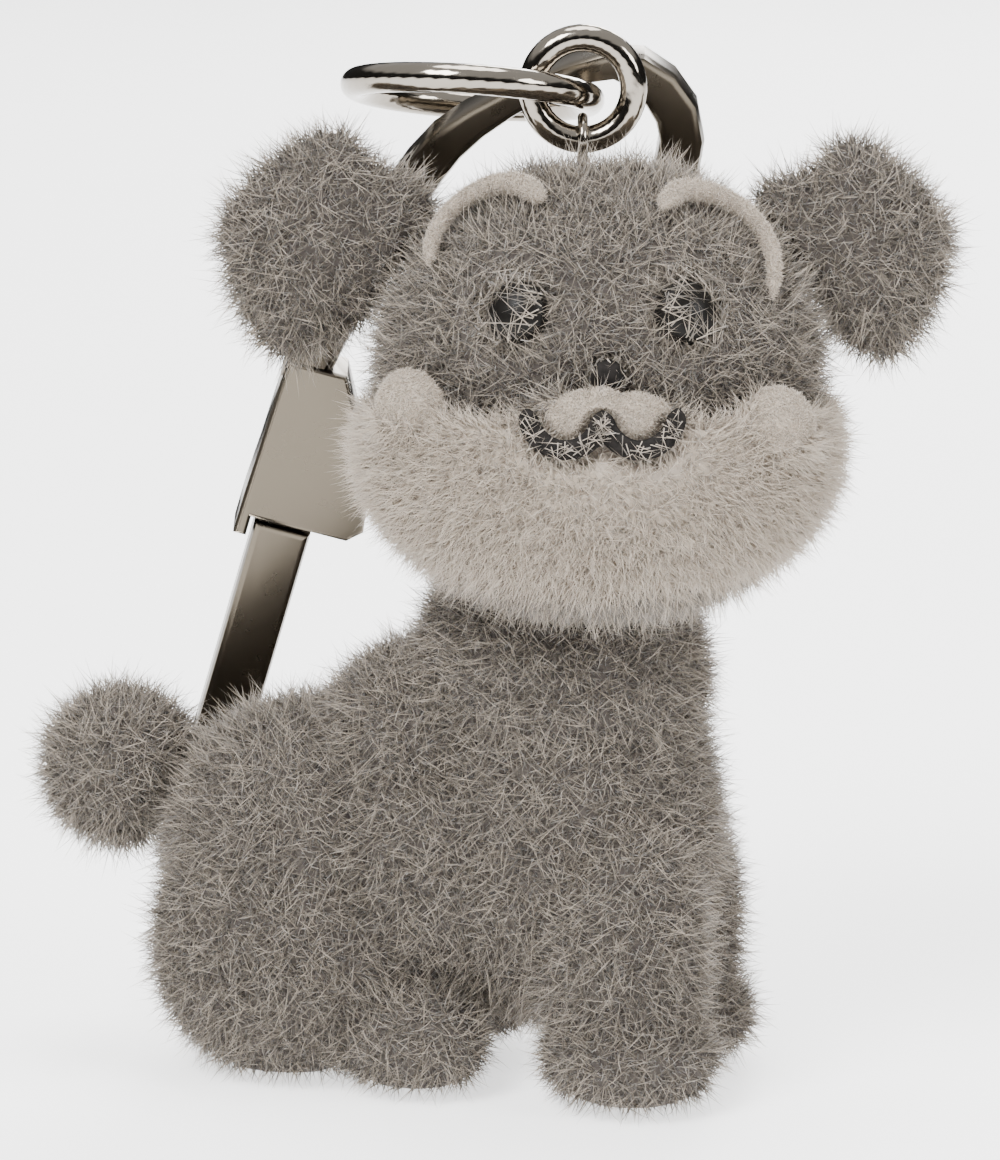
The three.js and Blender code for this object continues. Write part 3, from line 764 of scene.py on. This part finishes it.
class KEYCHAIN_OT_ears(KeychainOperator):
    """Flocks both ears"""

    bl_idname = "keychain.ears"
    bl_label = "Ear Flock"

    def execute(self, context):
        look = context.scene.keychain_pile
        for number, node in enumerate(("ear_right", "ear_left")):
            centre = middle(node)

            def rule(place, normal):
                out = (place - centre).normalized()
                # Fewer and shorter fibres towards the middle of the ear's front let the dark ground show:
                # painted shade in the ear's hollow.
                rim = min(1.0, (place - centre).length / (5.5 * MM)) if normal.y < -0.3 else 1.0
                lean = out * 0.35 + drift(place, LOCKS, 20.0 + number) * 0.4
                return (0.55 + 0.45 * rim, 0.72 + 0.28 * rim, lean)

            skin = skin_of(node, 0.34 * MM, 0.8 * look.inset, 4)
            write_growth(skin, 0.6 * MM, ("head", "beard"), rule)
            grow(context, skin, f"{node}_pile", grey_trees(context), 150 + 10 * number, look.fibre, 1.15)
            finish_skin(skin, node, ground("grey_ground", GREY_PIT, look.root))
        return {"FINISHED"}


class KEYCHAIN_OT_tail(KeychainOperator):
    """Flocks the round tail"""

    bl_idname = "keychain.tail"
    bl_label = "Tail Flock"

    def execute(self, context):
        look = context.scene.keychain_pile

        def rule(place, normal):
            return (1.0, 1.0, drift(place, LOCKS, 40.0) * 0.4)

        skin = skin_of("tail", 0.34 * MM, look.inset)
        write_growth(skin, 0.6 * MM, ("body",), rule)
        grow(context, skin, "tail_pile", grey_trees(context), 180, look.fibre, 1.15)
        finish_skin(skin, "tail", ground("grey_ground", GREY_PIT, look.root))
        return {"FINISHED"}


class KEYCHAIN_OT_brows(KeychainOperator):
    """Covers both brows in short white velvet"""

    bl_idname = "keychain.brows"
    bl_label = "Brow Velvet"

    def execute(self, context):
        look = context.scene.keychain_pile

        def rule(place, normal):
            return (1.0, 1.0, drift(place, NAP, 60.0) * 0.25)

        for number, node in enumerate(("brow_right", "brow_left")):
            skin = skin_of(node, 0.14 * MM, 0.22 * MM, 2)
            write_growth(skin, 0.2 * MM, ("head",), rule)
            name, seed = f"{node}_velvet", 210 + 10 * number
            grow(context, skin, name, white_trees(context), seed, look.velvet, 5.5, "white_flock")
            finish_skin(skin, node, ground("white_ground", look.white_root, look.cream))
        return {"FINISHED"}


class KEYCHAIN_OT_face(KeychainOperator):
    """Rounds the black eyes, nose and mouth, and lays fibres of the pile across them"""

    bl_idname = "keychain.face"
    bl_label = "Eyes, Nose and Mouth"

    def execute(self, context):
        gloss = plastic_material(
            "eye_gloss", (0.004, 0.0035, 0.003), (0.01, 0.009, 0.008), 0.3, 0.42, 900, 0.01 * MM
        )
        matt = plastic_material(
            "mouth_black", (0.004, 0.0035, 0.003), (0.014, 0.012, 0.011), 0.6, 0.85, 2600, 0.05 * MM
        )
        depths = {"eye_right": 0.75 * MM, "eye_left": 0.75 * MM, "nose": 0.25 * MM, "mouth": 0.4 * MM}
        for node, depth in depths.items():
            made = merged_copy(node, f"{node}_bead")
            inward = (SKULL - middle(node)).normalized() * depth
            made.data.transform(Matrix.Translation(inward))
            crease = made.modifiers.new("Round", "SUBSURF")
            crease.levels = crease.render_levels = 2
            settle(made)
            smooth_faces(made)
            eye = node.startswith("eye")
            made.data.materials.append(gloss if eye else matt)
            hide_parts(node)
            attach(made, FIGURE)
        grey, white = ("light", "middle", "pale", "middle"), ("pale", "light", "cream", "middle")
        lashes(context, "eye_right", grey, 31, 85)
        lashes(context, "eye_left", grey, 32, 85)
        lashes(context, "nose", grey, 33, 30)
        whiskers(context, "mouth", white, 34, 120)
        return {"FINISHED"}


class KEYCHAIN_OT_peg(KeychainOperator):
    """Gives the neck peg its moulded plastic"""

    bl_idname = "keychain.peg"
    bl_label = "Neck Peg"

    def execute(self, context):
        finish = plastic_material(
            "moulded_plastic", (0.06, 0.055, 0.05), (0.09, 0.083, 0.075), 0.45, 0.65, 1200, 0.03 * MM
        )
        dress("neck_peg", finish)
        return {"FINISHED"}


def dress(node, finish):
    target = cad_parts[node]
    for place in target.material_slots:
        place.link = "OBJECT"
        place.material = finish


class KEYCHAIN_OT_rings(KeychainOperator):
    """Rounds the wire of the screw eye, jump ring and key ring, in polished nickel"""

    bl_idname = "keychain.rings"
    bl_label = "Screw Eye and Rings"

    def execute(self, context):
        look = context.scene.keychain_hardware
        polish = metal_material("polished_nickel", tuple(look.nickel), 0.07, 0.13, 700, 0.01 * MM)
        for node, body in (("small_ring", "jump_ring"), ("large_ring", "key_ring"), ("screw_eye", FIGURE)):
            made = merged_copy(node, f"{node}_wire")
            rounder = made.modifiers.new("Round", "SUBSURF")
            rounder.levels = rounder.render_levels = 2
            settle(made)
            smooth_faces(made)
            made.data.materials.append(polish)
            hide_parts(node)
            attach(made, body)
        return {"FINISHED"}


class KEYCHAIN_OT_clasp(KeychainOperator):
    """Softens the clasp's cast edges and gives it tumbled nickel"""

    bl_idname = "keychain.clasp"
    bl_label = "Clasp and Gate"

    def execute(self, context):
        look = context.scene.keychain_hardware
        cast = metal_material("tumbled_nickel", tuple(look.cast), 0.24, 0.32, 420, 0.012 * MM)
        steel = metal_material("spring_steel", (0.5, 0.5, 0.49), 0.25, 0.4, 900, 0.02 * MM)
        for node, body, share in (("clasp_frame", "clasp", 1.0), ("clasp_gate", "gate", 0.6)):
            made = merged_copy(node, f"{node}_cast")
            tidy = made.modifiers.new("Flatten", "DECIMATE")
            tidy.decimate_type, tidy.angle_limit = "DISSOLVE", math.radians(2)
            edge = made.modifiers.new("Round edges", "BEVEL")
            edge.width, edge.segments = look.edge * share, 3
            edge.limit_method, edge.angle_limit = "ANGLE", math.radians(24)
            edge.use_clamp_overlap = True
            settle(made)
            smooth_faces(made)
            even = made.modifiers.new("Even normals", "WEIGHTED_NORMAL")
            even.keep_sharp = True
            settle(made)
            made.data.materials.append(cast)
            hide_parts(node)
            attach(made, body)
        for node in ("gate_pin", "gate_spring"):
            dress(node, steel)
        return {"FINISHED"}


class KEYCHAIN_OT_stage(KeychainOperator):
    """Lays the pale floor and sets the lamps and the camera"""

    bl_idname = "keychain.stage"
    bl_label = "Stage"

    def execute(self, context):
        look = context.scene.keychain_stage
        mesh = bpy.data.meshes.new("floor")
        reach = 1.5
        corners = [(-reach, -reach, 0), (reach, -reach, 0), (reach, reach, 0), (-reach, reach, 0)]
        mesh.from_pydata(corners, [], [(0, 1, 2, 3)])
        floor = add_object("floor", mesh)
        finish, nodes, links, shader = material("pale_floor", look.floor, 0.7)
        pale = tuple(look.floor)
        mottled(nodes, links, shader, tuple(0.985 * c for c in pale), pale, 40)
        socket(shader, "Emission Color", pale)
        socket(shader, "Emission Strength", 1.6)
        mesh.materials.append(finish)

        target = Vector((0.7 * MM, 2.2 * MM, 28.3 * MM))
        back = Vector((0, -math.cos(look.rise), math.sin(look.rise)))
        data = bpy.data.cameras.new("camera")
        data.sensor_fit = "HORIZONTAL"
        data.lens = data.sensor_width * look.reach / look.width
        data.clip_start, data.clip_end = 0.01, 20
        camera = add_object("camera", data)
        camera.location = target + back * look.reach
        camera.rotation_euler = (math.pi / 2 - look.rise, 0, 0)
        context.scene.camera = camera

        lamps = (
            ("key", (-0.28, -0.42, 0.55), 0.34, 9.0),
            ("fill", (0.55, -0.35, 0.32), 0.30, 3.4),
            ("top", (0.02, 0.10, 0.70), 0.42, 4.6),
            ("rim", (0.15, 0.60, 0.35), 0.30, 4.0),
        )
        for name, place, size, power in lamps:
            lamp = bpy.data.lights.new(name, "AREA")
            lamp.shape, lamp.size, lamp.energy = "DISK", size, power
            holder = add_object(f"{name}_lamp", lamp)
            holder.location = place
            holder.rotation_euler = (target - Vector(place)).to_track_quat("-Z", "Y").to_euler()
        self.surroundings(context)
        return {"FINISHED"}

    def surroundings(self, context):
        """A pale studio, with darker walls that only reflections show."""
        world = bpy.data.worlds.new("studio")
        world.use_nodes = True
        nodes, links = world.node_tree.nodes, world.node_tree.links
        nodes.clear()
        out = nodes.new("ShaderNodeOutputWorld")
        seen, lit = nodes.new("ShaderNodeBackground"), nodes.new("ShaderNodeBackground")
        socket(seen, "Color", (0.93, 0.93, 0.93))
        socket(seen, "Strength", 14.0)
        place = nodes.new("ShaderNodeTexCoord")
        height = nodes.new("ShaderNodeSeparateXYZ")
        walls = nodes.new("ShaderNodeValToRGB")
        stops = walls.color_ramp.elements
        stops[0].position, stops[0].color = 0.0, (0.55, 0.55, 0.55, 1)
        stops[1].position, stops[1].color = 1.0, (0.9, 0.9, 0.9, 1)
        for position, tone in ((0.44, 0.35), (0.5, 0.03), (0.68, 0.05), (0.76, 0.8)):
            stop = stops.new(position)
            stop.color = (tone, tone, tone, 1)
        scale = nodes.new("ShaderNodeMapRange")
        socket(scale, "From Min", -1.0)
        links.new(place.outputs["Generated"], height.inputs[0])
        links.new(height.outputs["Z"], scale.inputs["Value"])
        links.new(scale.outputs["Result"], walls.inputs["Fac"])
        links.new(walls.outputs["Color"], lit.inputs["Color"])
        socket(lit, "Strength", 1.1)
        path = nodes.new("ShaderNodeLightPath")
        pick = nodes.new("ShaderNodeMixShader")
        links.new(path.outputs["Is Camera Ray"], pick.inputs[0])
        links.new(lit.outputs[0], pick.inputs[1])
        links.new(seen.outputs[0], pick.inputs[2])
        links.new(pick.outputs[0], out.inputs["Surface"])
        context.scene.world = world


OPERATORS = (
    KEYCHAIN_OT_body, KEYCHAIN_OT_head, KEYCHAIN_OT_beard, KEYCHAIN_OT_ears, KEYCHAIN_OT_tail,
    KEYCHAIN_OT_brows, KEYCHAIN_OT_face, KEYCHAIN_OT_peg, KEYCHAIN_OT_rings, KEYCHAIN_OT_clasp,
    KEYCHAIN_OT_stage,
)


class KEYCHAIN_PT_panel(bpy.types.Panel):
    bl_label = "Flocked Dog Keychain"
    bl_idname = "KEYCHAIN_PT_panel"
    bl_space_type = "VIEW_3D"
    bl_region_type = "UI"
    bl_category = "Keychain"

    def draw(self, context):
        for operator in OPERATORS:
            self.layout.operator(operator.bl_idname)


SETTINGS = (
    (PileSettings, "keychain_pile"),
    (HardwareSettings, "keychain_hardware"),
    (StageSettings, "keychain_stage"),
)


def register():
    for group, name in SETTINGS:
        bpy.utils.register_class(group)
        setattr(bpy.types.Scene, name, PointerProperty(type=group))
    for kind in (*OPERATORS, KEYCHAIN_PT_panel):
        bpy.utils.register_class(kind)


def unregister():
    for kind in reversed((*OPERATORS, KEYCHAIN_PT_panel)):
        bpy.utils.unregister_class(kind)
    for group, name in reversed(SETTINGS):
        delattr(bpy.types.Scene, name)
        bpy.utils.unregister_class(group)


def main():
    register()
    for operator in OPERATORS:
        group, name = operator.bl_idname.split(".")
        getattr(getattr(bpy.ops, group), name)()


if __name__ == "__main__":
    main()
